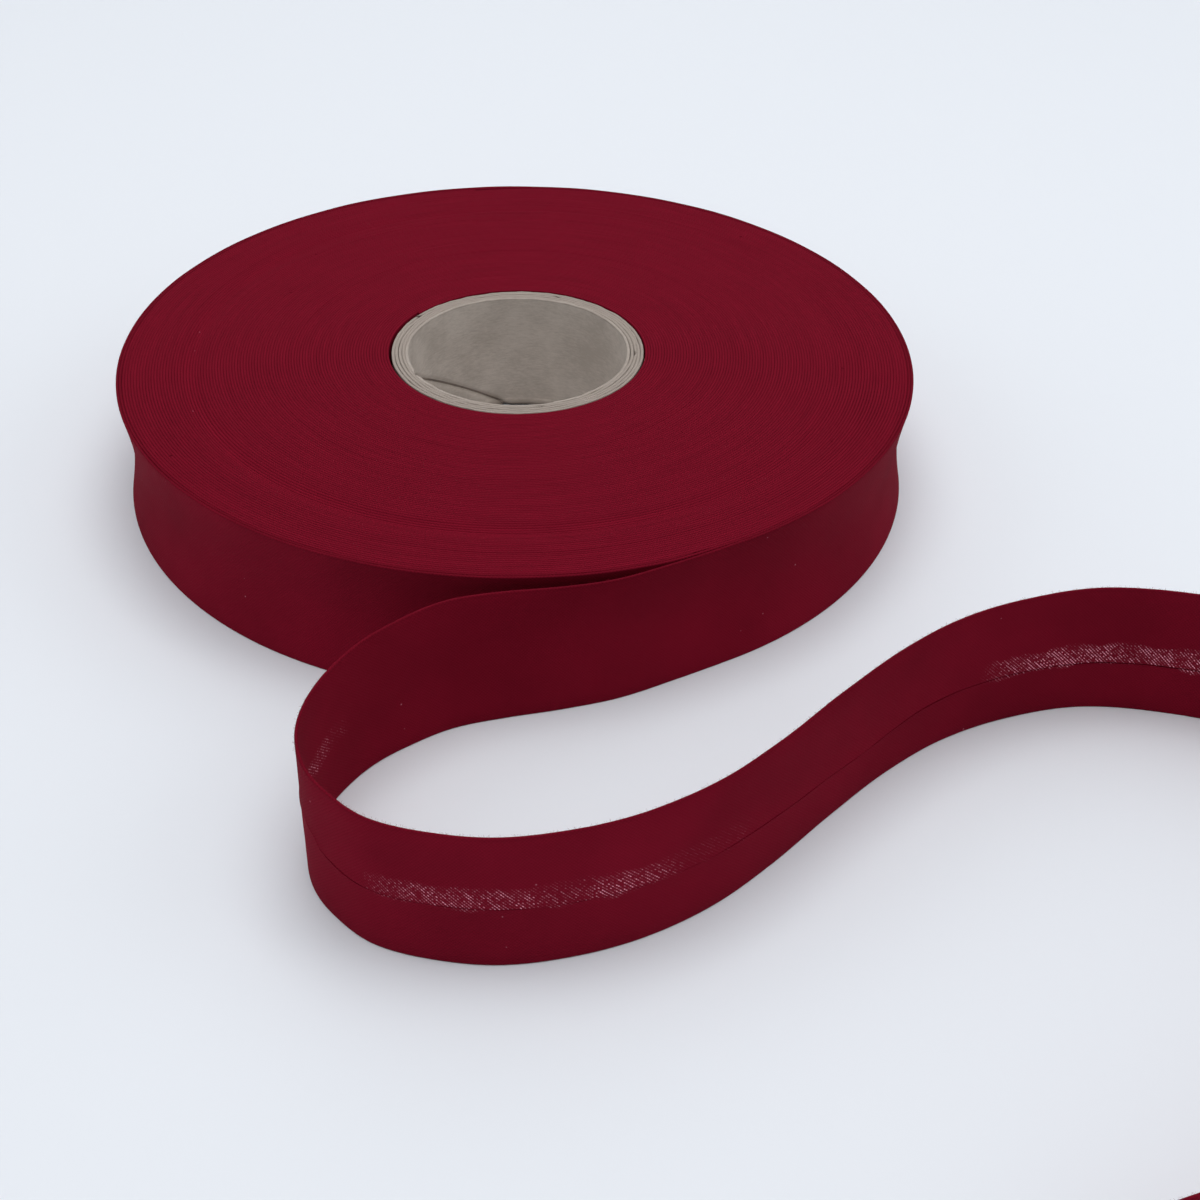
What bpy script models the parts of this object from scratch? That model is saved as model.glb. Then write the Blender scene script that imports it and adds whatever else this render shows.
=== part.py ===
"""A roll of folded bias binding: cotton tape wound on a paperboard tube, with its free end drawn off.

Metres, +Z up. The roll lies flat on Z = 0 with its axis on Z, and the drawn tape stands on its edge beside it.
"""

import math

import bpy

# The tape and the roll, which set every other size
TAPE_WIDTH = 0.020
TAPE_THICKNESS = 0.00043
ROLL_RADIUS = 0.0616
WAIST_DEPTH = 0.0014  # how far the middle of the roll's side lies inside its rims

# The paperboard tube
CORE_RADIUS = 0.0197
CORE_HEIGHT = 0.0198
PLY_COUNT = 5
PLY_THICKNESS = 0.00036
PLY_GAP = 0.00015

# The strip that holds the inner end of the tape
ADHESIVE_WIDTH = 0.015
ADHESIVE_HEIGHT = 0.016
ADHESIVE_THICKNESS = 0.00010
ADHESIVE_GAP = 0.00010

# The wound lengths of cloth, from the core outwards, and how far each stands above the table
LENGTH_LIFTS = (0.0, 0.00015, 0.0, 0.0002, 0.0001, 0.0, 0.0002, 0.0001, 0.00015, 0.0, 0.00015, 0.0)
LENGTH_GAP = 0.0002
RUNNING_GAP = 0.0004  # between the wound lengths and the last turn, which they turn inside

# The last turn and the drawn tape
LEAVING_ANGLE = math.radians(-60)  # where the tape leaves the roll
END_CLEARANCE_ANGLE = math.radians(9.5)  # room that the last turn's inner end gives the tape above it
JOIN_GAP = 0.0003
EDGE_CLEARANCE = 0.0001  # between the edges of the last turn and the drawn tape, and the table
TAIL_SAMPLES = 80

ROUND_STEPS = 60

# The drawn tape's route in plan, from where it leaves the roll to its cut end, in millimetres
TAIL_ROUTE_MM = (
    (30.7, -53.2), (24.3, -57.0), (16.6, -61.2), (8.8, -63.9), (1.0, -66.0), (-5.5, -68.3), (-11.0, -72.0),
    (-15.5, -76.2), (-19.0, -81.8), (-20.9, -87.5), (-21.2, -93.0), (-19.7, -98.4), (-16.6, -102.8),
    (-11.8, -106.9), (-5.0, -109.1), (3.2, -109.8), (12.0, -108.1), (20.3, -104.7), (28.2, -99.4),
    (35.4, -92.4), (43.0, -83.8), (51.0, -75.4), (59.5, -68.5), (69.0, -63.7), (79.5, -61.0), (90.5, -61.9),
    (101.0, -65.2), (110.0, -72.0), (116.5, -81.5), (120.0, -93.0), (119.5, -105.5), (115.0, -118.0),
    (107.0, -129.5), (96.5, -139.0), (84.5, -146.5), (72.0, -151.8), (60.0, -156.5),
)


def clear_scene():
    for obj in list(bpy.data.objects):
        bpy.data.objects.remove(obj, do_unlink=True)


def make_collection(name):
    collection = bpy.data.collections.new(name)
    bpy.context.scene.collection.children.link(collection)
    return collection


def make_empty(name, collection):
    """A parent at the origin, which lies on the roll's axis."""
    empty = bpy.data.objects.new(name, None)
    collection.objects.link(empty)
    return empty


def make_material(name, colour, roughness):
    material = bpy.data.materials.new(name)
    material.use_nodes = True
    shader = material.node_tree.nodes["Principled BSDF"]
    shader.inputs["Base Color"].default_value = (*colour, 1.0)
    shader.inputs["Roughness"].default_value = roughness
    shader.inputs["Metallic"].default_value = 0.0
    return material


def add_object(name, data, material, parent, collection):
    data.materials.append(material)
    obj = bpy.data.objects.new(name, data)
    collection.objects.link(obj)
    obj.parent = parent
    return obj


def profile_mesh(name, outline, closed):
    """A line of points in the XZ plane, for a Screw modifier to turn about Z."""
    count = len(outline)
    edges = [(i, (i + 1) % count) for i in range(count if closed else count - 1)]
    mesh = bpy.data.meshes.new(name)
    mesh.from_pydata([(x, 0.0, z) for x, z in outline], edges, [])
    return mesh


def add_turned(name, outline, closed, angle, steps, material, parent, collection):
    """Turns an outline about Z; at +X its outer side runs from top to bottom, so that its faces point outwards."""
    obj = add_object(name, profile_mesh(name, outline, closed), material, parent, collection)
    screw = obj.modifiers.new("turn", "SCREW")
    screw.axis = "Z"
    screw.angle = angle
    screw.steps = screw.render_steps = steps
    screw.use_merge_vertices = closed
    screw.merge_threshold = 1e-6
    screw.use_smooth_shade = True
    return obj


def add_solidify(obj, thickness, offset):
    solidify = obj.modifiers.new("thickness", "SOLIDIFY")
    solidify.thickness = thickness
    solidify.offset = offset


def waisted_line(radius, bottom, top):
    """A turn's side from top to bottom: the folds at its edges stand out, and its middle draws in with the radius."""
    drawn_in = WAIST_DEPTH * (radius - CORE_RADIUS) / (ROLL_RADIUS - CORE_RADIUS)
    return [(radius, top), (radius - drawn_in, (bottom + top) / 2), (radius, bottom)]


def add_core_plies(collection, parent, board, liner):
    """The tube: a liner, plies of board and a cover, wound in a spiral and glued. The cover is outermost."""
    names = ["core_liner_ply", "core_body_ply_1", "core_body_ply_2", "core_body_ply_3", "core_cover_ply"]
    for index, name in enumerate(names):
        plies_outside = PLY_COUNT - 1 - index
        outer = CORE_RADIUS - plies_outside * (PLY_THICKNESS + PLY_GAP)
        inner = outer - PLY_THICKNESS
        outline = [(outer, CORE_HEIGHT), (outer, 0.0), (inner, 0.0), (inner, CORE_HEIGHT)]
        material = liner if index == 0 else board
        add_turned(name, outline, True, math.tau, ROUND_STEPS, material, parent, collection)


def add_adhesive_strip(collection, parent, material):
    """The strip stuck on the tube, under the start of the first turn."""
    outer = CORE_RADIUS + ADHESIVE_GAP + ADHESIVE_THICKNESS
    middle = TAPE_WIDTH / 2
    outline = [(outer, middle + ADHESIVE_HEIGHT / 2), (outer, middle - ADHESIVE_HEIGHT / 2)]
    angle = ADHESIVE_WIDTH / outer
    steps = math.ceil(angle / (math.tau / ROUND_STEPS))
    strip = add_turned("core_adhesive_strip", outline, False, angle, steps, material, parent, collection)
    add_solidify(strip, ADHESIVE_THICKNESS, -1.0)


def wound_radii():
    """The radii where one wound length of cloth ends and the next begins: each takes the same area in plan."""
    first = CORE_RADIUS + 2 * ADHESIVE_GAP + ADHESIVE_THICKNESS
    last = ROLL_RADIUS - TAPE_THICKNESS - RUNNING_GAP
    count = len(LENGTH_LIFTS)
    return [math.sqrt(first**2 + (last**2 - first**2) * i / count) for i in range(count + 1)]


def add_cloth_lengths(collection, parent, material):
    """The lengths of bias-cut cloth, sewn end to end, each as the ring that its turns fill."""
    radii = wound_radii()
    for index, lift in enumerate(LENGTH_LIFTS):
        inner = radii[index] + (LENGTH_GAP / 2 if index > 0 else 0.0)
        outer = radii[index + 1] - (LENGTH_GAP / 2 if index < len(LENGTH_LIFTS) - 1 else 0.0)
        outer_side = waisted_line(outer, lift, lift + TAPE_WIDTH)
        inner_side = waisted_line(inner, lift, lift + TAPE_WIDTH)
        outline = outer_side + inner_side[::-1]
        name = f"cloth_length_{index + 1:02d}"
        add_turned(name, outline, True, math.tau, ROUND_STEPS, material, parent, collection)


def add_outer_turn(collection, parent, material):
    """The last turn on the roll. It stays with the drawn tape while the roll turns inside it."""
    join_angle = JOIN_GAP / ROLL_RADIUS
    angle = math.tau - END_CLEARANCE_ANGLE - join_angle
    outline = waisted_line(ROLL_RADIUS, EDGE_CLEARANCE, TAPE_WIDTH - EDGE_CLEARANCE)
    turn = add_turned("outer_turn", outline, False, angle, ROUND_STEPS, material, parent, collection)
    turn.rotation_euler.z = LEAVING_ANGLE + join_angle
    add_solidify(turn, TAPE_THICKNESS, -1.0)


def smooth_curve(points, samples):
    """Evenly numbered points on a Catmull-Rom curve through the given points."""
    first = [2 * a - b for a, b in zip(points[0], points[1])]
    last = [2 * a - b for a, b in zip(points[-1], points[-2])]
    knots = [first, *points, last]
    spans = len(points) - 1
    curve = []
    for sample in range(samples):
        place = sample * spans / (samples - 1)
        span = min(int(place), spans - 1)
        t = place - span
        weights = (
            (-t + 2 * t**2 - t**3) / 2,
            (2 - 5 * t**2 + 3 * t**3) / 2,
            (t + 4 * t**2 - 3 * t**3) / 2,
            (-(t**2) + t**3) / 2,
        )
        near = knots[span : span + 4]
        curve.append([sum(w * p[axis] for w, p in zip(weights, near)) for axis in (0, 1)])
    return curve


def add_tape_tail(collection, parent, material):
    """The drawn tape, standing on its edge along its route."""
    route = [(x / 1000, y / 1000) for x, y in TAIL_ROUTE_MM]
    points = smooth_curve(route, TAIL_SAMPLES)
    curve = bpy.data.curves.new("tape_tail", "CURVE")
    curve.dimensions = "2D"
    curve.extrude = TAPE_WIDTH / 2 - EDGE_CLEARANCE
    spline = curve.splines.new("POLY")
    spline.points.add(len(points) - 1)
    for point, (x, y) in zip(spline.points, points):
        point.co = (x, y, 0.0, 1.0)
    tail = add_object("tape_tail", curve, material, parent, collection)
    tail.location.z = TAPE_WIDTH / 2
    add_solidify(tail, TAPE_THICKNESS, 0.0)


def main():
    clear_scene()
    collection = make_collection("bias_binding_roll")
    board = make_material("core_board", (0.34, 0.28, 0.23), 0.85)
    liner = make_material("core_liner", (0.26, 0.23, 0.20), 0.8)
    adhesive = make_material("adhesive", (0.62, 0.58, 0.47), 0.4)
    cloth = make_material("crimson_cotton", (0.135, 0.006, 0.016), 0.8)

    roll = make_empty("roll_axis", collection)
    add_core_plies(collection, roll, board, liner)
    add_adhesive_strip(collection, roll, adhesive)
    add_cloth_lengths(collection, roll, cloth)

    drawn = make_empty("drawn_tape_frame", collection)
    add_outer_turn(collection, drawn, cloth)
    add_tape_tail(collection, drawn, cloth)


main()
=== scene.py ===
"""A roll of folded bias binding: crimson cotton tape on a paperboard tube, with its free end drawn off.

Metres, +Z up. The roll lies flat with its axis on Z, and the drawn tape stands on its edge beside it. The
sections follow the making of the roll, from the tube outwards to the drawn tape and the floor under it.
"""
import math

import bpy
import numpy as np
from mathutils import Matrix, Vector


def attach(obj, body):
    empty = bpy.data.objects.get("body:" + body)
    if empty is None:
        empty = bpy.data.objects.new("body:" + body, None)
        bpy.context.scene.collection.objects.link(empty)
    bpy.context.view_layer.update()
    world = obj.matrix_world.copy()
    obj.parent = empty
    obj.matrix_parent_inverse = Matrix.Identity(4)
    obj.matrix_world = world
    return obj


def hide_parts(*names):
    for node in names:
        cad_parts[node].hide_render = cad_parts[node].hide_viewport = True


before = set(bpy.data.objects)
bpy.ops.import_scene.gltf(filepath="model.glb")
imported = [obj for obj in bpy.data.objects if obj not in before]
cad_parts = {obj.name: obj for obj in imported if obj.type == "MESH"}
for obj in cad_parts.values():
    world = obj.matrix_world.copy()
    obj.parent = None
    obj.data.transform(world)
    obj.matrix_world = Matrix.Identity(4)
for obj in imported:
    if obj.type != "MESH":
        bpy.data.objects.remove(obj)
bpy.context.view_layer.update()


# ---------------------------------------------------------------------------
# The tube. Five plies of grey-brown paperboard, wound in a spiral round a mandrel and glued: a liner, three
# plies of body board and a cover. The saw that cuts the tube to length leaves its rims slightly ragged.
# ---------------------------------------------------------------------------
MM = 0.001
TUBE_RADIUS = 19.7 * MM
TUBE_HEIGHT = 19.8 * MM
PLY_STEP = 0.515 * MM  # from one ply to the next
PLY_THICKNESS = 0.512 * MM
RIM_WEAR = 0.4 * MM
FOOT_GAP = 0.35 * MM  # between the sawn foot of the tube and the floor
FOOT_FLARE = 0.9 * MM  # how far the crushed foot stands into the bore
FOOT_HEIGHT = 1.0 * MM
SEAM_RISE = 65.6 * MM  # how far a ply's seam climbs in one turn
SEAM_TURN = math.radians(75)  # from one ply's seam to the next ply's
SEAM_GAP = 0.2 * MM
LINER_SEAM_GAP = 0.7 * MM
LINER_SEAM_ANGLE = math.radians(100.6)  # where the liner's seam meets the foot of the tube
SEAM_EDGE = 1.0 * MM  # over which a ply thins towards its seam
SEAM_THINNING = 0.8  # the share of the ply's thickness that goes there
SAWN_BOARD = (0.35, 0.295, 0.255, 1.0)
# Painted shade: the dark brown at the tube's foot stands for the shadow where the foot meets the floor.
FOOT_PAINTED_SHADE = (0.15, 0.12, 0.10, 1.0)
LINER_PALE = (0.56, 0.49, 0.43, 1.0)
LINER_DARK = (0.43, 0.37, 0.32, 1.0)
BOARD_PALE = (0.33, 0.275, 0.235, 1.0)
BOARD_DARK = (0.23, 0.185, 0.155, 1.0)


class Field:
    """A number inside a node tree, so that a formula can be written as one."""

    def __init__(self, tree, socket):
        self.tree, self.socket = tree, socket

    def __add__(self, other):
        return maths(self.tree, "ADD", self, other)

    def __sub__(self, other):
        return maths(self.tree, "SUBTRACT", self, other)

    def __rsub__(self, other):
        return maths(self.tree, "SUBTRACT", other, self)

    def __mul__(self, other):
        return maths(self.tree, "MULTIPLY", self, other)

    def __truediv__(self, other):
        return maths(self.tree, "DIVIDE", self, other)

    def __pow__(self, other):
        return maths(self.tree, "POWER", self, other)

    __radd__ = __add__
    __rmul__ = __mul__


def join(tree, value, socket):
    """Feeds a socket with a field, another socket or a plain value."""
    if isinstance(value, Field):
        value = value.socket
    if isinstance(value, bpy.types.NodeSocket):
        tree.links.new(value, socket)
    else:
        socket.default_value = value


def maths(tree, operation, *values):
    node = tree.nodes.new("ShaderNodeMath")
    node.operation = operation
    for value, socket in zip(values, node.inputs):
        join(tree, value, socket)
    return Field(tree, node.outputs[0])


def signed_power(field, power):
    """The field's size to a power, with the field's own sign."""
    size = maths(field.tree, "ABSOLUTE", field) ** power
    return size * maths(field.tree, "SIGN", field)


def smooth_step(field, low, high):
    """0 below low and 1 above high, with a smooth rise between them. A low above high turns it round."""
    node = field.tree.nodes.new("ShaderNodeMapRange")
    node.interpolation_type = "SMOOTHSTEP"
    for value, name in ((field, "Value"), (low, "From Min"), (high, "From Max")):
        join(field.tree, value, node.inputs[name])
    return Field(field.tree, node.outputs[0])


def vector(tree, x, y, z):
    node = tree.nodes.new("ShaderNodeCombineXYZ")
    for value, socket in zip((x, y, z), node.inputs):
        join(tree, value, socket)
    return node.outputs[0]


def parts_of(tree, socket):
    node = tree.nodes.new("ShaderNodeSeparateXYZ")
    tree.links.new(socket, node.inputs[0])
    return [Field(tree, output) for output in node.outputs]


def noise(tree, place, scale, detail=2.0, roughness=0.5):
    """Smooth noise from about 0.2 to 0.8, at a vector."""
    node = tree.nodes.new("ShaderNodeTexNoise")
    join(tree, place, node.inputs["Vector"])
    node.inputs["Scale"].default_value = scale
    node.inputs["Detail"].default_value = detail
    node.inputs["Roughness"].default_value = roughness
    return Field(tree, node.outputs[0])


def add(tree, kind, links=None, **settings):
    """Adds a node with its settings, and feeds the inputs named in links."""
    node = tree.nodes.new(kind)
    for name, value in settings.items():
        setattr(node, name, value)
    for name, value in (links or {}).items():
        join(tree, value, node.inputs[name])
    return node


def new_geometry_tree(name, floats, ints):
    """A Geometry Nodes tree with a geometry and named numbers as its inputs, and those inputs as fields."""
    tree = bpy.data.node_groups.new(name, "GeometryNodeTree")
    tree.interface.new_socket("Geometry", in_out="OUTPUT", socket_type="NodeSocketGeometry")
    tree.interface.new_socket("Geometry", in_out="INPUT", socket_type="NodeSocketGeometry")
    for label in floats:
        tree.interface.new_socket(label, in_out="INPUT", socket_type="NodeSocketFloat")
    for label in ints:
        tree.interface.new_socket(label, in_out="INPUT", socket_type="NodeSocketInt")
    group = tree.nodes.new("NodeGroupInput")
    return tree, {label: Field(tree, group.outputs[label]) for label in ("Geometry", *floats, *ints)}


def end_geometry_tree(tree, geometry, material):
    """Ends a tree as every piece here ends: real geometry, shaded smooth, in one material."""
    real = add(tree, "GeometryNodeRealizeInstances", {"Geometry": geometry}).outputs[0]
    smooth = add(tree, "GeometryNodeSetShadeSmooth", {"Geometry": real}).outputs[0]
    painted = add(tree, "GeometryNodeSetMaterial", {"Geometry": smooth, "Material": material}).outputs[0]
    tree.links.new(painted, tree.nodes.new("NodeGroupOutput").inputs["Geometry"])


def link_object(name, data):
    obj = bpy.data.objects.new(name, data)
    bpy.context.scene.collection.objects.link(obj)
    return obj


def made_real(obj):
    """Turns an object's modifiers into a plain mesh."""
    bpy.context.view_layer.update()
    graph = bpy.context.evaluated_depsgraph_get()
    mesh = bpy.data.meshes.new_from_object(obj.evaluated_get(graph), depsgraph=graph)
    obj.modifiers.clear()
    obj.data = mesh
    mesh.name = obj.name
    return obj


def grown(name, tree, mesh=None, **values):
    """A piece made by a Geometry Nodes tree, with the tree's named inputs set, as a plain mesh."""
    obj = link_object(name, mesh or bpy.data.meshes.new(name))
    modifier = obj.modifiers.new(name, "NODES")
    modifier.node_group = tree
    for socket in tree.interface.items_tree:
        label = socket.name.replace(" ", "_").lower()
        if socket.in_out == "INPUT" and label in values:
            modifier[socket.identifier] = values[label]
    return made_real(obj)


def flat_section(tree, thickness, width, points, corner, edge):
    """A rounded rectangle, thickness in X and width in Y, as a circle whose X and Y go to small powers."""
    circle = add(tree, "GeometryNodeCurvePrimitiveCircle", {"Resolution": points, "Radius": 1.0}).outputs[0]
    x, y, _ = parts_of(tree, tree.nodes.new("GeometryNodeInputPosition").outputs[0])
    half_x = signed_power(x, corner) * thickness * 0.5
    half_y = signed_power(y, edge) * width * 0.5
    links = {"Geometry": circle, "Position": vector(tree, half_x, half_y, 0.0)}
    return add(tree, "GeometryNodeSetPosition", links).outputs[0]


def path_points(tree, count):
    """A line with so many points, and how far along it each point is, from 0 to 1."""
    line = tree.nodes.new("GeometryNodeCurvePrimitiveLine").outputs[0]
    resampled = add(tree, "GeometryNodeResampleCurve", {"Curve": line, "Count": count}).outputs[0]
    factor = Field(tree, tree.nodes.new("GeometryNodeSplineParameter").outputs["Factor"])
    return resampled, factor


def swept(tree, path, section):
    """Sweeps an upright section along a level path, with closed ends."""
    upright = add(tree, "GeometryNodeSetCurveNormal", {"Curve": path}, mode="Z_UP").outputs[0]
    links = {"Curve": upright, "Profile Curve": section, "Fill Caps": True}
    return add(tree, "GeometryNodeCurveToMesh", links).outputs[0]


def new_material(name, roughness, specular, sheen=0.0):
    material = bpy.data.materials.new(name)
    material.use_nodes = True
    shader = material.node_tree.nodes["Principled BSDF"]
    shader.inputs["Roughness"].default_value = roughness
    shader.inputs["Specular IOR Level"].default_value = specular
    shader.inputs["Sheen Weight"].default_value = sheen
    return material, material.node_tree, shader


def blended(tree, amount, first, second):
    """A colour between two colours."""
    node = add(tree, "ShaderNodeMix", data_type="RGBA")
    join(tree, amount, node.inputs["Factor"])
    join(tree, first, node.inputs[6])
    join(tree, second, node.inputs[7])
    return node.outputs[2]


def add_bump(tree, shader, height, distance, strength=1.0):
    bump = add(tree, "ShaderNodeBump", {"Height": height})
    bump.inputs["Distance"].default_value = distance
    bump.inputs["Strength"].default_value = strength
    tree.links.new(bump.outputs[0], shader.inputs["Normal"])


def board_material(name, pale, dark):
    """Recycled paperboard: mottled pulp with short fibres, raw at the sawn rim, and darkened at the foot
    with painted shade.
    """
    material, tree, shader = new_material(name, roughness=0.88, specular=0.25)
    place = add(tree, "ShaderNodeTexCoord").outputs["Object"]
    pulp = noise(tree, place, 130.0, detail=4.0, roughness=0.6)
    stretched = add(tree, "ShaderNodeMapping", {"Vector": place, "Scale": (1.0, 1.0, 4.0)}).outputs[0]
    fibres = noise(tree, stretched, 900.0, detail=3.0, roughness=0.7)
    mottle = smooth_step(pulp * 0.6 + fibres * 0.4, 0.36, 0.64)
    height = parts_of(tree, place)[2]
    at_rim = smooth_step(height, TUBE_HEIGHT - 0.35 * MM, TUBE_HEIGHT - 0.15 * MM)
    # Painted shade at the foot of the tube, darkest next to the floor.
    foot_shade_mask = smooth_step(height, 1.1 * MM, 0.4 * MM)
    colour = blended(tree, mottle, dark, pale)
    colour = blended(tree, at_rim * (1.0 - mottle * 0.3), colour, SAWN_BOARD)
    colour = blended(tree, foot_shade_mask, colour, FOOT_PAINTED_SHADE)
    tree.links.new(colour, shader.inputs["Base Color"])
    add_bump(tree, shader, fibres + pulp, 0.05 * MM)
    return material


def stored(tree, geometry, name, value):
    """Stores a number on each point of a curve, which a sweep passes on to its mesh."""
    links = {"Geometry": geometry, "Name": name, "Value": value}
    node = add(tree, "GeometryNodeStoreNamedAttribute", links, data_type="FLOAT", domain="POINT")
    return node.outputs[0]


def spiral_ply_tree(name, material):
    """A ply as a ring that starts and ends at its own slanting seam, where it thins, and has worn rims."""
    tree, given = new_geometry_tree(
        name,
        floats=(
            "Radius", "Thickness", "Height", "Seam Angle", "Seam Gap", "Seam Rise", "Rim Wear", "Foot Gap",
            "Foot Flare",
        ),
        ints=("Steps", "Seed"),
    )
    path, factor = path_points(tree, given["Steps"])
    turn = math.tau - given["Seam Gap"] / given["Radius"]
    angle = given["Seam Angle"] + given["Seam Gap"] * 0.5 / given["Radius"] + factor * turn
    x = maths(tree, "COSINE", angle) * given["Radius"]
    y = maths(tree, "SINE", angle) * given["Radius"]
    ring = vector(tree, x, y, given["Height"] * 0.5)
    path = add(tree, "GeometryNodeSetPosition", {"Geometry": path, "Position": ring}).outputs[0]
    from_seam = maths(tree, "MINIMUM", factor, 1.0 - factor) * turn * given["Radius"]
    path = stored(tree, path, "from_seam", from_seam)
    section = flat_section(tree, given["Thickness"], given["Height"], points=56, corner=0.035, edge=0.8)
    ply = swept(tree, path, section)

    place = tree.nodes.new("GeometryNodeInputPosition").outputs[0]
    height = parts_of(tree, place)[2]
    slant = height * math.tau / given["Seam Rise"]
    links = {"Vector": place, "Angle": slant, "Axis": (0.0, 0.0, 1.0)}
    leaning = add(tree, "ShaderNodeVectorRotate", links, rotation_type="AXIS_ANGLE").outputs[0]
    near_rim = smooth_step(maths(tree, "ABSOLUTE", height / given["Height"] - 0.5), 0.44, 0.5)
    seeded = add(tree, "ShaderNodeVectorMath", {0: leaning, 1: vector(tree, given["Seed"], 0.0, 0.0)})
    rough = noise(tree, seeded.outputs[0], 420.0, detail=3.0, roughness=0.65) - 0.5
    dented = noise(tree, seeded.outputs[0], 90.0) - 0.5
    wear = near_rim * given["Rim Wear"]
    lean_x, lean_y, _ = parts_of(tree, leaning)
    reach = (lean_x * lean_x + lean_y * lean_y) ** 0.5
    inner_side = smooth_step(reach, given["Radius"], given["Radius"] - given["Thickness"] * 0.4)
    seam = add(tree, "GeometryNodeInputNamedAttribute", {"Name": "from_seam"}, data_type="FLOAT").outputs[0]
    at_seam = smooth_step(Field(tree, seam), SEAM_EDGE, 0.0) * inner_side
    thinned = at_seam * given["Thickness"] * SEAM_THINNING
    flare = smooth_step(height, FOOT_HEIGHT, FOOT_HEIGHT * 0.2) * given["Foot Flare"]
    outwards = 1.0 + (dented * wear * 1.2 + thinned - flare) / given["Radius"]
    top = maths(tree, "GREATER_THAN", height, given["Height"] * 0.5)
    lifted = given["Foot Gap"] * near_rim * (1.0 - top) * (1.0 + rough)
    worn = vector(tree, lean_x * outwards, lean_y * outwards, height + rough * wear * top + lifted)
    ply = add(tree, "GeometryNodeSetPosition", {"Geometry": ply, "Position": worn}).outputs[0]
    end_geometry_tree(tree, ply, material)
    return tree


liner_paper = board_material("liner_paper", LINER_PALE, LINER_DARK)
tube_board = board_material("tube_board", BOARD_PALE, BOARD_DARK)
ply_names = ["core_liner_ply", "core_body_ply_1", "core_body_ply_2", "core_body_ply_3", "core_cover_ply"]
for index, ply_name in enumerate(ply_names):
    is_liner = index == 0
    plies_outside = len(ply_names) - 1 - index
    ply = grown(
        ply_name.replace("core_", "tube_"),
        spiral_ply_tree(ply_name, liner_paper if is_liner else tube_board),
        radius=TUBE_RADIUS - PLY_THICKNESS / 2 - plies_outside * PLY_STEP,
        thickness=PLY_THICKNESS, height=TUBE_HEIGHT,
        seam_angle=LINER_SEAM_ANGLE + index * SEAM_TURN,
        seam_gap=LINER_SEAM_GAP if is_liner else SEAM_GAP, seam_rise=SEAM_RISE,
        rim_wear=RIM_WEAR, foot_gap=FOOT_GAP, foot_flare=FOOT_FLARE, steps=200, seed=index,
    )
    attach(ply, "roll")
    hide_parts(ply_name)


# ---------------------------------------------------------------------------
# The adhesive strip. A short strip of clear-yellow adhesive film on the tube's outside holds the start of
# the first turn. The cloth covers it, so the plain strip stays and only takes its finish.
# ---------------------------------------------------------------------------
film, film_tree, film_shader = new_material("adhesive_film", roughness=0.35, specular=0.5)
film_place = add(film_tree, "ShaderNodeTexCoord").outputs["Object"]
smears = smooth_step(noise(film_tree, film_place, 700.0, detail=3.0), 0.4, 0.6)
film_colour = blended(film_tree, smears, (0.60, 0.52, 0.33, 1.0), (0.70, 0.66, 0.52, 1.0))
film_tree.links.new(film_colour, film_shader.inputs["Base Color"])
add_bump(film_tree, film_shader, smears, 0.02 * MM)
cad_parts["core_adhesive_strip"].data.materials.clear()
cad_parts["core_adhesive_strip"].data.materials.append(film)


# ---------------------------------------------------------------------------
# The wound cloth. Plain-woven crimson cotton, cut on the bias in twelve lengths that are sewn end to end,
# folded to 20 mm and wound flat on the tube. Each length is the spiral of its own turns, and stands a little
# higher or lower than its neighbours.
# ---------------------------------------------------------------------------
TAPE_WIDTH = 20.0 * MM
TURN_PITCH = 0.43 * MM
WOUND_THICKNESS = 0.429 * MM
WOUND_WIDTH = TAPE_WIDTH - 0.1 * MM
WOUND_START = 20.0 * MM
WOUND_END = 60.475 * MM  # the middle line of the outermost wound turn, under the rounds of the last turn
WOUND_END_ANGLE = math.radians(100)
STEP_TURN = 12 / 360  # the share of a turn over which an evened turn steps out by one thickness
EVENED_TURNS = 25.0  # over which the spiral becomes rounds, towards the outside
UNEVENNESS = 0.03 * MM
ROLL_RADIUS = 61.6 * MM
WAIST_DEPTH = 1.4 * MM  # how far the middle of the roll's side lies inside its edges
WAIST_POWER = 1.6
JOIN_TURN = 0.0005  # the share of a turn between one length's end and the next one's start
LENGTH_LIFTS_MM = (0.02, 0.03, 0.0, 0.03, 0.01, 0.02, 0.01, 0.03, 0.0, 0.02, 0.0, 0.01)
DIP_DEPTH = 0.55 * MM  # of the shallow round valley in the roll's top
DIP_RADIUS = 50.6 * MM
DIP_SPREAD = 1.5 * MM
DIP_SIDE = math.radians(-125)  # where it is deepest
THREAD_PITCH = 0.34  # in millimetres, as the cloth's own coordinates are
THREAD_RED = (0.200, 0.0055, 0.0192, 1.0)
# Painted shade: the darker red between the threads stands for the shade in the gaps of the weave.
GAP_RED = (0.152, 0.0038, 0.0132, 1.0)
# Painted highlight: the pink stands for light glinting off the polished thread crowns.
PAINTED_GLINT_PINK = (0.95, 0.38, 0.50, 1.0)
LINT_PINK = (0.42, 0.13, 0.18, 1.0)
COTTON_ROUGHNESS = 0.82


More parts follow.
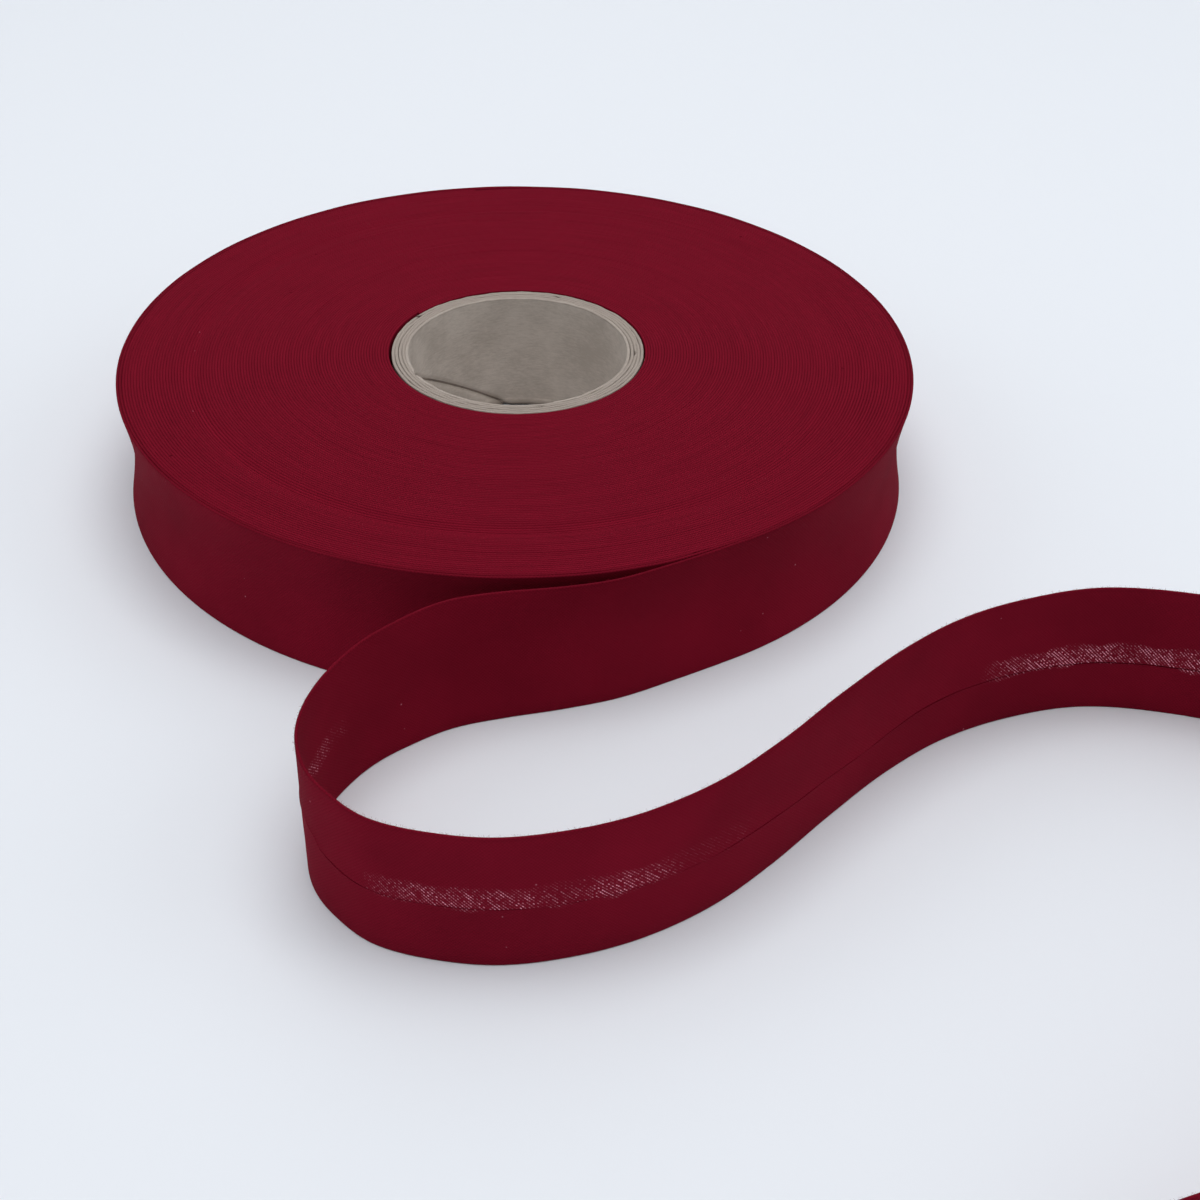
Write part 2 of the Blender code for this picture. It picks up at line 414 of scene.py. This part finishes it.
def crossings(tree, along, across):
    """The waves of the warp and the weft across the cloth, one hump to a thread, with the slubs of the yarn.

    Also two random numbers, one for each crossing of two threads and one for each warp thread."""
    slub = (noise(tree, vector(tree, along, across, 0.0), 0.9, detail=3.0) - 0.5) * 1.1
    turn = math.pi / THREAD_PITCH / math.sqrt(2)
    warp_turns = (along + across) * turn + slub
    weft_turns = (along - across) * turn - slub
    warp_number = maths(tree, "FLOOR", warp_turns / math.pi)
    weft_number = maths(tree, "FLOOR", weft_turns / math.pi)
    crossing = vector(tree, warp_number, weft_number, 0.0)
    row = vector(tree, warp_number, 0.5, 7.0)
    chance, row_chance = [
        Field(tree, add(tree, "ShaderNodeTexWhiteNoise", {"Vector": spot}).outputs["Value"])
        for spot in (crossing, row)
    ]
    return maths(tree, "SINE", warp_turns), maths(tree, "SINE", weft_turns), chance, row_chance


def polish_and_painted_glint(tree, along, across, above_slit, polish_and_glint):
    """How strongly pressing has polished each place, in a clumpy band above the slit. The same number also
    sets how strongly the glint there is painted into the colour.
    """
    clumps = noise(tree, vector(tree, along, across * 0.6, 3.0), 0.24, detail=3.0)
    above = above_slit + (clumps - 0.5) * 2.4
    band = smooth_step(above, -0.5, 0.5) * smooth_step(above, 3.4, 2.2)
    return band * (smooth_step(clumps, 0.36, 0.53) * 0.75 + 0.25) * polish_and_glint


def lint_specks(tree, place):
    """Small round specks of lint, a few millimetres apart."""
    specks = add(tree, "ShaderNodeTexVoronoi", {"Vector": place})
    specks.inputs["Scale"].default_value = 0.28
    rare = maths(tree, "GREATER_THAN", parts_of(tree, specks.outputs["Color"])[0], 0.55)
    return smooth_step(Field(tree, specks.outputs["Distance"]), 0.045, 0.015) * rare


def cloth_material(name):
    """Crimson cotton whose threads cross the tape at 45 degrees. Pressing has polished some of them, and
    their glint is painted into the colour as a pink highlight.

    The cloth's own coordinates are in millimetres: along the tape, across the cut strip, and above the slit.
    The threads are polished, with a painted highlight, in a band above the slit, as strongly as the number
    for polish says. Painted shade darkens its folds, as the number fold says, its top edge, and the gaps
    between its threads."""
    material, tree, shader = new_material(name, COTTON_ROUGHNESS, specular=0.025, sheen=0.008)
    shader.inputs["Sheen Roughness"].default_value = 0.45
    shader.inputs["Sheen Tint"].default_value = (1.0, 0.2, 0.3, 1.0)
    along, across, above_slit, polish_and_glint, fold = [
        Field(tree, add(tree, "ShaderNodeAttribute", attribute_name=label).outputs["Fac"])
        for label in ("along", "across", "above_slit", "polish_and_glint", "fold")
    ]
    level = parts_of(tree, add(tree, "ShaderNodeTexCoord").outputs["Object"])[2]
    place = vector(tree, along, across, 0.0)

    warp_wave, weft_wave, chance, row_chance = crossings(tree, along, across)
    warp, weft = maths(tree, "ABSOLUTE", warp_wave), maths(tree, "ABSOLUTE", weft_wave)
    warp_over = maths(tree, "GREATER_THAN", warp_wave * weft_wave, 0.0)
    warp_height = warp**0.5 * (0.6 + weft * 0.4)
    weft_height = weft**0.5 * (0.6 + warp * 0.4)
    height = warp_over * warp_height + (1.0 - warp_over) * weft_height
    fuzz = noise(tree, place, 5.0, detail=3.0, roughness=0.7)
    thread = smooth_step(height + (fuzz - 0.5) * 0.5, 0.15, 0.95)
    # Painted shade in the gaps between the threads, where the weave is lowest.
    colour = blended(tree, thread, GAP_RED, THREAD_RED)

    # Painted highlight: in the polished band the thread crowns are painted pink where they would glint, and
    # their roughness drops too.
    polish_and_glint_band = polish_and_painted_glint(tree, along, across, above_slit, polish_and_glint)
    crown = smooth_step(warp, 0.78, 1.0) * smooth_step(weft, 0.12, 0.80)
    glint = crown * chance**1.8 * (0.35 + row_chance) + 0.004
    shine = maths(tree, "MINIMUM", polish_and_glint_band * glint, 1.0)
    colour = blended(tree, shine, colour, PAINTED_GLINT_PINK)

    at_top = smooth_step(level, 19.3 * MM, 19.8 * MM)
    colour = blended(tree, lint_specks(tree, place) * (1.0 - at_top), colour, LINT_PINK)
    patches = noise(tree, place, 0.07, detail=2.0)
    # Painted shade: the top 0.5 mm of the cloth is 8% darker and its folds 14% darker. The patches are
    # random tone.
    tone = (0.78 + patches * 0.44) * (1.0 - at_top * 0.08) * (1.0 - fold * 0.14)
    scaled = add(tree, "ShaderNodeVectorMath", {0: colour}, operation="SCALE")
    join(tree, tone, scaled.inputs["Scale"])
    tree.links.new(scaled.outputs[0], shader.inputs["Base Color"])
    join(tree, COTTON_ROUGHNESS - shine * 0.42, shader.inputs["Roughness"])
    add_bump(tree, shader, height * 0.6 + fuzz * 0.6, 0.06 * MM, 0.6)
    return material


def waisted(tree, radius, share_up):
    """How far the middle of a turn lies inside its edges, at a share of its height."""
    drawn = (radius - TUBE_RADIUS) * (WAIST_DEPTH / (ROLL_RADIUS - TUBE_RADIUS))
    middle = 1.0 - maths(tree, "ABSOLUTE", share_up * 2.0 - 1.0) ** WAIST_POWER
    return drawn * maths(tree, "MAXIMUM", middle, 0.0)


def wound_length_tree(name, material):
    """A spiral of folded tape standing on its edge, whose turns stand a little unevenly.

    Towards the outside of the roll, the turns become rounds that each step out by one thickness at one
    place, so that the outside of the wound cloth is truly round."""
    tree, given = new_geometry_tree(
        name,
        floats=(
            "Start Radius", "Start Angle", "Turns", "Turns Left", "Step Turn", "Pitch", "Width", "Thickness",
            "Lift", "Dip", "Dip Radius", "Dip Spread", "Dip Side", "Unevenness",
        ),
        ints=("Steps", "Seed"),
    )
    path, factor = path_points(tree, maths(tree, "CEIL", given["Turns"] * given["Steps"]))
    turns = factor * given["Turns"]
    angle = given["Start Angle"] - turns * math.tau
    x, y = maths(tree, "COSINE", angle), maths(tree, "SINE", angle)
    left = given["Turns Left"] - turns
    part = maths(tree, "FRACT", left)
    stepped = part - smooth_step(part, 1.0 - given["Step Turn"], 1.0)
    evened = smooth_step(left, EVENED_TURNS, 1.0) * stepped
    radius = given["Start Radius"] + (turns + evened) * given["Pitch"]
    seeded = given["Seed"] * 11.3
    level = noise(tree, vector(tree, x + seeded, y, turns * 1.3), 1.2, detail=2.0) - 0.5
    rise = given["Width"] * 0.5 + level * given["Unevenness"] * 2.0
    spiral = vector(tree, x * radius, y * radius, rise)
    path = add(tree, "GeometryNodeSetPosition", {"Geometry": path, "Position": spiral}).outputs[0]
    run = Field(tree, tree.nodes.new("GeometryNodeSplineParameter").outputs["Length"]) / MM
    path = stored(tree, path, "along", run)
    section = flat_section(tree, given["Thickness"], given["Width"], points=28, corner=0.08, edge=0.10)
    rim = Field(tree, tree.nodes.new("GeometryNodeSplineParameter").outputs["Length"]) / MM
    turned = swept(tree, path, stored(tree, section, "across", rim))

    px, py, pz = parts_of(tree, tree.nodes.new("GeometryNodeInputPosition").outputs[0])
    reach = (px * px + py * py) ** 0.5
    share_up = pz / given["Width"]
    kept = 1.0 - waisted(tree, reach, share_up) / reach
    near_side = maths(tree, "COSINE", given["Dip Side"]) * px + maths(tree, "SINE", given["Dip Side"]) * py
    across_dip = (reach - given["Dip Radius"]) / given["Dip Spread"]
    valley = maths(tree, "EXPONENT", across_dip * across_dip * -1.0)
    dip = given["Dip"] * valley * (1.0 + near_side / reach) * 0.5
    drawn = vector(tree, px * kept, py * kept, pz + given["Lift"] - dip * share_up)
    turned = add(tree, "GeometryNodeSetPosition", {"Geometry": turned, "Position": drawn}).outputs[0]
    end_geometry_tree(tree, turned, material)
    return tree


crimson = cloth_material("crimson_cotton")
length_tree = wound_length_tree("wound_length", crimson)
length_count = len(LENGTH_LIFTS_MM)
square_step = (WOUND_END**2 - WOUND_START**2) / length_count  # each length fills the same area in plan
length_radii = [math.sqrt(WOUND_START**2 + square_step * i) for i in range(length_count + 1)]
for index, lift in enumerate(LENGTH_LIFTS_MM):
    inner, outer = length_radii[index : index + 2]
    turns_left = (WOUND_END - inner) / TURN_PITCH
    length = grown(
        f"wound_length_{index + 1:02d}", length_tree,
        start_radius=inner, start_angle=WOUND_END_ANGLE + turns_left * math.tau,
        turns=(outer - inner) / TURN_PITCH - JOIN_TURN, turns_left=turns_left, step_turn=STEP_TURN,
        pitch=TURN_PITCH, width=WOUND_WIDTH, thickness=WOUND_THICKNESS, lift=lift * MM,
        dip=DIP_DEPTH, dip_radius=DIP_RADIUS, dip_spread=DIP_SPREAD, dip_side=DIP_SIDE,
        unevenness=UNEVENNESS, steps=120, seed=index,
    )
    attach(length, "roll")
    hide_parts(f"cloth_length_{index + 1:02d}")


# ---------------------------------------------------------------------------
# The last turn. The outermost folded tape, lying round the wound cloth with its slit side inwards. It keeps
# still with the drawn tape while the roll turns inside it. It goes round nearly twice, so that its own end
# lies under it.
# ---------------------------------------------------------------------------
CLOTH_THICKNESS = 0.19 * MM
FOLD_RADIUS = 0.12 * MM  # of the folds' middle line
FLAP_WIDTH = 10.0 * MM
EDGE_CLEARANCE = 0.1 * MM
HALF_HEIGHT = TAPE_WIDTH / 2 - EDGE_CLEARANCE - FOLD_RADIUS  # from the middle line to where a fold starts
RAW_EDGE_RISE = 0.10 * MM  # how far a flap's raw edge stands off the base
RAW_EDGE_WAVE = 0.06 * MM  # and how much that varies
RAW_EDGE_WAVES = (0.0173, 0.0071, 0.043)  # the lengths of its waves along the tape, in metres
RAW_EDGE_REACH = 1.1 * MM
UPPER_EDGE_SHIFT = 4 * MM
PUCKER = 0.035 * MM
PUCKER_WAVES = (0.0121, 0.0067, 0.0203)
PUCKER_SLANT = 1.1
SETTLE = 0.04 * MM  # how far the top edge rises and falls along the tape
SETTLE_WAVES = (0.061, 0.023, 0.0138)
# Painted highlight: the polished bands carry a glint painted into the cloth's colour.
POLISH_AND_GLINT_DROP = 1.7 * MM  # how far the base's polished band lies below the flap's
LEAVING_ANGLE = math.radians(-60)
TUCK_ANGLE = math.radians(9.5)  # over which the last turn sinks by one thickness, to pass under the tape
TUCK_CLEARANCE = 0.01 * MM
TURN_SLIT_GAP = 0.12 * MM
TURN_STEP = 1.0 * MM  # from one station of the mesh to the next
FLAP_POINTS = 12
FOLD_POINTS = 6
BASE_POINTS = 15


def wave(places, waves, seed):
    """A smooth random line from about -1 to 1, whose waves have the given lengths."""
    draw = np.random.default_rng(seed)
    phases = draw.uniform(0, math.tau, len(waves))
    return sum(np.sin(math.tau * places / w + p) for w, p in zip(waves, phases)) / len(waves)


def folded_outline(slit, gap):
    """The folded cloth's outline at each station, from the upper flap's raw edge to the lower flap's.

    Returns each point's height above the tape's middle line, its depth towards the base and its place across
    the cut strip. The slit's height and its width are columns of numbers, with one row for each station."""
    fold_length = math.pi * FOLD_RADIUS
    share = 1 - np.linspace(1, 0, FLAP_POINTS) ** 0.6  # from a flap's raw edge to its fold
    upper = slit + gap / 2 + (HALF_HEIGHT - slit - gap / 2) * share
    lower = slit - gap / 2 - (HALF_HEIGHT + slit - gap / 2) * share
    arc = np.linspace(0, math.pi, FOLD_POINTS + 2)[1:-1]
    base = np.linspace(HALF_HEIGHT, -HALF_HEIGHT, BASE_POINTS)
    rise = FOLD_RADIUS * np.sin(arc)
    middle = np.concatenate([HALF_HEIGHT + rise, base, -HALF_HEIGHT - rise])
    middle = np.broadcast_to(middle, (len(slit), len(middle)))
    middle_across = FLAP_WIDTH + np.concatenate([
        FOLD_RADIUS * arc,
        fold_length + HALF_HEIGHT - base,
        fold_length + HALF_HEIGHT * 2 + FOLD_RADIUS * arc,
    ])
    middle_across = np.broadcast_to(middle_across, middle.shape)
    upper_across = FLAP_WIDTH - (HALF_HEIGHT - upper)
    lower_across = FLAP_WIDTH + 2 * fold_length + 3 * HALF_HEIGHT + lower
    flap_depth = np.full(FLAP_POINTS, -1.0)
    depth = [flap_depth, -np.cos(arc), np.ones(BASE_POINTS), np.cos(arc), flap_depth]
    return (
        np.hstack([upper, middle, lower[:, ::-1]]),
        np.concatenate(depth) * FOLD_RADIUS,
        np.hstack([upper_across, middle_across, lower_across[:, ::-1]]),
    )


def on_each_part(flap, fold, base):
    """One number for each point of the outline, from a number for the flaps, the folds and the base."""
    counts = (FLAP_POINTS, FOLD_POINTS, BASE_POINTS, FOLD_POINTS, FLAP_POINTS)
    return np.repeat(np.array([flap, fold, base, fold, flap], dtype=float), counts)


def folded_sheet(
    name, centres, outwards, along, waist, slit, gap, lean=0.0, flap_polish_and_glint=0.0, base_polish_and_glint=0.0, relief=0.0,
    squeeze=1.0,
):
    """Cloth folded to a tape and standing on its edge along a line, as one sheet with a true wall.

    The base layer is on the outward side. On the other side the raw edges of its two flaps meet at the slit.
    The rest are one number for each station, or one for all: how far the middle draws in, the slit's height
    above the middle and its width, how far the top leans in, how polished the flaps and the base are, and so
    how strong their painted glint is, how far the raw edges stand off, and how flat the folds are squeezed."""
    waist, slit, gap, lean, flap_polish_and_glint, base_polish_and_glint, relief, squeeze = [
        np.broadcast_to(numbers, along.shape)[:, None]
        for numbers in (waist, slit, gap, lean, flap_polish_and_glint, base_polish_and_glint, relief, squeeze)
    ]
    height, depth, across = folded_outline(slit, gap)
    on_flap = on_each_part(1, 0, 0)

    upper_wave = wave(along + UPPER_EDGE_SHIFT, RAW_EDGE_WAVES, 7)[:, None]
    lower_wave = wave(along, RAW_EDGE_WAVES, 8)[:, None]
    stands_off = RAW_EDGE_RISE + RAW_EDGE_WAVE * np.where(height > slit, upper_wave, lower_wave)
    raw = stands_off * np.exp(-np.abs(height - slit) / RAW_EDGE_REACH) * on_flap
    pucker = PUCKER * wave(along[:, None] + height * PUCKER_SLANT, PUCKER_WAVES, 9)
    pucker = pucker * (1 - np.abs(height) / HALF_HEIGHT * 0.8)
    share_up = height / TAPE_WIDTH + 0.5
    drawn_in = waist * (1 - np.abs(2 * share_up - 1) ** WAIST_POWER)
    out = depth * squeeze - drawn_in - lean * share_up + relief * (pucker - raw)
    settle = SETTLE * wave(along, SETTLE_WAVES, 4)[:, None]
    verts = np.dstack([
        centres[:, :1] + outwards[:, :1] * out,
        centres[:, 1:] + outwards[:, 1:] * out,
        height + TAPE_WIDTH / 2 + settle * share_up,
    ])
    grid = np.arange(height.size).reshape(height.shape)
    faces = np.stack([grid[:-1, :-1], grid[:-1, 1:], grid[1:, 1:], grid[1:, :-1]], axis=-1)
    mesh = bpy.data.meshes.new(name)
    mesh.from_pydata(verts.reshape(-1, 3).tolist(), [], faces.reshape(-1, 4).tolist())
    numbers = {
        "along": along[:, None] / MM,
        "across": across / MM,
        "above_slit": np.where(on_flap > 0, height - slit, height + POLISH_AND_GLINT_DROP) / MM,
        "polish_and_glint": np.where(on_flap > 0, flap_polish_and_glint, base_polish_and_glint),
        # Marks the folds, which the cloth's colour darkens with painted shade.
        "fold": on_each_part(0, 1, 0),
    }
    for label, values in numbers.items():
        values = np.broadcast_to(values, height.shape).ravel()
        mesh.attributes.new(label, "FLOAT", "POINT").data.foreach_set("value", values)
    mesh.shade_smooth()
    mesh.materials.append(crimson)
    obj = link_object(name, mesh)
    solidify = obj.modifiers.new("cloth", "SOLIDIFY")
    solidify.thickness = CLOTH_THICKNESS
    solidify.offset = 0.0
    made_real(obj).data.set_sharp_from_angle(angle=math.radians(50))
    return obj


def sunk(places):
    """How far a layer has sunk, as a share of its thickness, at angles before it passes under the tape."""
    return (1 - np.clip(places / TUCK_ANGLE, 0, 1) ** 2) ** 2


turn_middle = ROLL_RADIUS - TURN_PITCH / 2
turn_sweep = 2 * math.tau - TUCK_ANGLE / 2
turn_count = round(turn_sweep * turn_middle / TURN_STEP)
swept_back = np.linspace(turn_sweep, 0.0, turn_count)
under_tape = sunk(math.tau - swept_back)
under_turn = sunk(2 * math.tau - swept_back)  # the inner end thins, where the turn outside it sinks
turn_radii = turn_middle - (TURN_PITCH + TUCK_CLEARANCE) * (under_tape + under_turn / 2)
turn_squeeze = (TURN_PITCH * (1 - under_turn) - CLOTH_THICKNESS) / (TURN_PITCH - CLOTH_THICKNESS)
turn_angles = LEAVING_ANGLE + swept_back
turn_directions = np.stack([np.cos(turn_angles), np.sin(turn_angles)], axis=1)
turn_line = turn_directions * turn_radii[:, None]
turn_steps = np.linalg.norm(np.diff(turn_line, axis=0), axis=1)
turn_along = np.concatenate([[0.0], np.cumsum(turn_steps)])
turn_waist = WAIST_DEPTH * (turn_radii - TUBE_RADIUS) / (ROLL_RADIUS - TUBE_RADIUS)
last_turn = folded_sheet(
    "last_turn", turn_line, turn_directions, turn_along, waist=turn_waist, slit=0.0, gap=TURN_SLIT_GAP,
    squeeze=turn_squeeze,
)
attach(last_turn, "drawn_tape")
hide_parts("outer_turn")


# ---------------------------------------------------------------------------
# The drawn tape. The free end of the same cloth, pulled off the roll and left standing on its edge in a
# loose S. It doubles back in front of the roll and swings away to the right. The slit is on its inner side.
# ---------------------------------------------------------------------------
TAIL_ROUTE_MM = (
    (30.7, -53.2), (24.3, -57.0), (16.6, -61.2), (8.8, -63.9), (1.0, -66.0), (-5.5, -68.3), (-11.0, -72.0),
    (-15.5, -76.2), (-19.0, -81.8), (-20.9, -87.5), (-21.2, -93.0), (-19.7, -98.4), (-16.6, -102.8),
    (-11.8, -106.9), (-5.0, -109.1), (3.2, -109.8), (12.0, -108.1), (20.3, -104.7), (28.2, -99.4),
    (35.4, -92.4), (43.0, -83.8), (51.0, -75.4), (59.5, -68.5), (69.0, -63.7), (79.5, -61.0), (90.5, -61.9),
    (101.0, -65.2), (110.0, -72.0), (116.5, -81.5), (120.0, -93.0), (119.5, -105.5), (115.0, -118.0),
    (107.0, -129.5), (96.5, -139.0), (84.5, -146.5), (72.0, -151.8), (60.0, -156.5),
)
TAIL_STEP = 0.75 * MM
SLIT_PLACES_MM = (  # along the drawn tape, and the slit's height above the tape's middle line there
    (0, 0.0), (40, 0.5), (74, 1.3), (80, -0.4), (86, -0.9), (100, -0.8), (120, -1.1), (137, -1.6),
    (150, -2.5), (160, -3.0), (172, -2.2), (200, -2.2), (250, -1.4), (300, -0.8), (350, -0.6),
)
SLIT_GAP = 0.16 * MM
SLIT_GAP_WAVE = 0.06 * MM
SLIT_GAP_WAVES = (0.031, 0.0127, 0.0067)
PRESSED_SHUT = (92, 130, 6, -0.6)  # a hump along the tape, as a share of the slit's gap
# Stretches along the drawn tape where the flaps, and the base, are polished and carry a painted pink glint.
FLAP_POLISH_AND_GLINT = ((94, 118, 7, 1.2), (124, 130, 6, 0.3), (192, 225, 12, 3.6))
BASE_POLISH_AND_GLINT = (62, 68, 6, 0.7)
WAIST_FADES_BY = 30 * MM  # along the drawn tape
LEAN_REACH = 1.5 * MM  # how far the top edge leans towards the roll where it leans most
LEAN_PLACE = 38 * MM
LEAN_SPREAD = 14 * MM


def smooth_line(points, per_span):
    """Points on a Catmull-Rom curve through the given points."""
    points = np.array(points)
    knots = np.vstack([2 * points[0] - points[1], points, 2 * points[-1] - points[-2]])
    t = np.linspace(0, 1, per_span, endpoint=False)[:, None]
    spans = []
    for a, b, c, d in zip(knots, knots[1:], knots[2:], knots[3:]):
        rise, bend, twist = c - a, 2 * a - 5 * b + 4 * c - d, 3 * b - a - 3 * c + d
        spans.append((2 * b + rise * t + bend * t**2 + twist * t**3) / 2)
    return np.vstack([*spans, points[-1:]])


def evenly_spaced(line, step):
    """The same line, with points the same distance apart."""
    places = np.concatenate([[0.0], np.cumsum(np.linalg.norm(np.diff(line, axis=0), axis=1))])
    wanted = np.linspace(0, places[-1], round(places[-1] / step) + 1)
    return np.stack([np.interp(wanted, places, line[:, axis]) for axis in (0, 1)], axis=1), wanted


def hump(places, low, high, ease, size):
    """A size between two places, falling to 0 over the ease outside them. Low, high and ease are in mm."""
    rise = np.clip((places - low * MM) / (ease * MM) + 1, 0, 1)
    fall = np.clip((high * MM - places) / (ease * MM) + 1, 0, 1)
    return size * rise * fall


tail_line, tail_along = evenly_spaced(smooth_line(TAIL_ROUTE_MM, 24) * MM, TAIL_STEP)
headings = np.gradient(tail_line, axis=0)
headings /= np.linalg.norm(headings, axis=1)[:, None]
tail_outwards = np.stack([-headings[:, 1], headings[:, 0]], axis=1)
fade = np.clip(1 - tail_along / WAIST_FADES_BY, 0, 1)
slit_line = smooth_line(SLIT_PLACES_MM, 12) * MM
slit_gap = SLIT_GAP + SLIT_GAP_WAVE * wave(tail_along, SLIT_GAP_WAVES, 5)
tape = folded_sheet(
    "drawn_tape", tail_line, tail_outwards, turn_along[-1] + tail_along,
    waist=turn_waist[-1] * fade**2 * (3 - 2 * fade),
    slit=np.interp(tail_along, slit_line[:, 0], slit_line[:, 1]),
    gap=slit_gap * (1 + hump(tail_along, *PRESSED_SHUT)),
    lean=LEAN_REACH * np.exp(-(((tail_along - LEAN_PLACE) / LEAN_SPREAD) ** 2)),
    flap_polish_and_glint=sum(hump(tail_along, *stretch) for stretch in FLAP_POLISH_AND_GLINT),
    base_polish_and_glint=hump(tail_along, *BASE_POLISH_AND_GLINT),
    relief=1.0,
)
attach(tape, "drawn_tape")
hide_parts("tape_tail")


# ---------------------------------------------------------------------------
# Loose fibres. Short ends of cotton stand off the top fold of the drawn tape, as they do on any brushed
# plain weave. Each is a bent hair in the cloth's own colour.
# ---------------------------------------------------------------------------
FIBRE_RADIUS = 0.010 * MM
FIBRE_LENGTH = 0.38 * MM
FIBRES_A_SQUARE_METRE = 2.2e7
FIBRE_REACH = 0.3 * MM  # how far below the top edge they grow
FIBRE_RED = (0.20, 0.006, 0.018, 1.0)


def fibre_tree(name, material):
    """Bent hairs spread over a mesh, thickest at its top edge."""
    tree, given = new_geometry_tree(
        name, floats=("Density", "High Edge", "Edge Depth", "Hair Length", "Hair Radius"), ints=("Seed",)
    )
    height = parts_of(tree, tree.nodes.new("GeometryNodeInputPosition").outputs[0])[2]
    at_edge = smooth_step(given["High Edge"] - height, given["Edge Depth"], 0.0) * given["Density"]
    points = add(tree, "GeometryNodeDistributePointsOnFaces", {
        "Mesh": given["Geometry"], "Density": at_edge, "Seed": given["Seed"],
    })
    hair, factor = path_points(tree, 4)
    bend = (factor**2.0) * given["Hair Length"] * 0.45
    bent = vector(tree, bend, 0.0, factor * given["Hair Length"])
    hair = add(tree, "GeometryNodeSetPosition", {"Geometry": hair, "Position": bent}).outputs[0]
    ring = add(tree, "GeometryNodeCurvePrimitiveCircle", {"Resolution": 3, "Radius": given["Hair Radius"]})
    links = {"Curve": hair, "Profile Curve": ring.outputs[0], "Fill Caps": True}
    hair = add(tree, "GeometryNodeCurveToMesh", links).outputs[0]
    lean = add(tree, "FunctionNodeRandomValue", {
        "Min": (-1.2, -1.2, 0.0), "Max": (1.2, 1.2, math.tau), "Seed": given["Seed"],
    }, data_type="FLOAT_VECTOR").outputs[0]
    turned = add(tree, "FunctionNodeRotateRotation", {
        "Rotation": points.outputs["Rotation"], "Rotate By": lean,
    }, rotation_space="LOCAL").outputs[0]
    size = add(tree, "FunctionNodeRandomValue", {"Seed": given["Seed"] + 1.0}, data_type="FLOAT")
    size.inputs[2].default_value = 0.35
    size.inputs[3].default_value = 1.0
    spread = add(tree, "GeometryNodeInstanceOnPoints", {
        "Points": points.outputs["Points"], "Instance": hair, "Rotation": turned, "Scale": size.outputs[1],
    }).outputs[0]
    end_geometry_tree(tree, spread, material)
    return tree


fibre_cotton, _, fibre_shader = new_material("fibre_cotton", roughness=0.9, specular=0.02)
fibre_shader.inputs["Base Color"].default_value = FIBRE_RED
tape_fuzz = grown(
    "tape_fuzz", fibre_tree("fibres", fibre_cotton), mesh=tape.data.copy(), density=FIBRES_A_SQUARE_METRE,
    high_edge=TAPE_WIDTH, edge_depth=FIBRE_REACH, hair_length=FIBRE_LENGTH, hair_radius=FIBRE_RADIUS, seed=3,
)
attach(tape_fuzz, "drawn_tape")


# ---------------------------------------------------------------------------
# The floor: a plain pale sheet, a little blue. Soft lights stand on both sides, above and behind, so the
# side of the roll towards the camera is in soft shade.
# ---------------------------------------------------------------------------
FLOOR_HALF = 1.6
FLOOR_WHITE = (0.80, 0.82, 0.86, 1.0)
SKY_WHITE = (0.90, 0.95, 1.0, 1.0)
SKY_STRENGTH = 0.37
COOL_WHITE = (0.94, 0.97, 1.0)

floor_mesh = bpy.data.meshes.new("floor")
corners = [(x * FLOOR_HALF, y * FLOOR_HALF, 0) for x, y in ((-1, -1), (1, -1), (1, 1), (-1, 1))]
floor_mesh.from_pydata(corners, [], [(0, 1, 2, 3)])
floor = link_object("floor", floor_mesh)
floor_paint, _, floor_shader = new_material("pale_floor", roughness=0.75, specular=0.3)
floor_shader.inputs["Base Color"].default_value = FLOOR_WHITE
floor_mesh.materials.append(floor_paint)

world = bpy.data.worlds.new("studio")
bpy.context.scene.world = world
world.use_nodes = True
sky = world.node_tree.nodes["Background"]
sky.inputs["Color"].default_value = SKY_WHITE
sky.inputs["Strength"].default_value = SKY_STRENGTH


def add_soft_light(name, place, size, power, colour=(1.0, 1.0, 1.0)):
    """A square soft light that looks at the roll."""
    light = bpy.data.lights.new(name, "AREA")
    light.shape = "SQUARE"
    light.size = size
    light.energy = power
    light.color = colour
    obj = link_object(name, light)
    obj.location = place
    obj.rotation_euler = (-Vector(place)).to_track_quat("-Z", "Y").to_euler()


add_soft_light("overhead", place=(0.05, -0.06, 1.1), size=1.0, power=8.0)
add_soft_light("left", place=(-1.0, 0.0, 0.6), size=0.8, power=1.5, colour=COOL_WHITE)
add_soft_light("right", place=(1.0, 0.0, 0.6), size=0.8, power=1.9, colour=COOL_WHITE)
add_soft_light("back", place=(0.0, 0.9, 0.9), size=0.9, power=2.0, colour=COOL_WHITE)


# ---------------------------------------------------------------------------
# The camera, low in front of the roll and a little to its right. It looks down at the roll and the drawn
# tape, turned slightly on its own axis.
# ---------------------------------------------------------------------------
CAMERA_PLACE = (0.01368, -0.25355, 0.15861)
CAMERA_DOWN = math.radians(36.47)
CAMERA_ROLL = math.radians(1.2)

camera = bpy.data.cameras.new("camera")
camera.lens = 54.8
camera.sensor_width = 36.0
camera_object = link_object("camera", camera)
camera_object.matrix_world = (
    Matrix.Translation(CAMERA_PLACE)
    @ Matrix.Rotation(math.pi / 2 - CAMERA_DOWN, 4, "X")
    @ Matrix.Rotation(CAMERA_ROLL, 4, "Z")
)
bpy.context.scene.camera = camera_object
bpy.context.scene.view_settings.view_transform = "Standard"
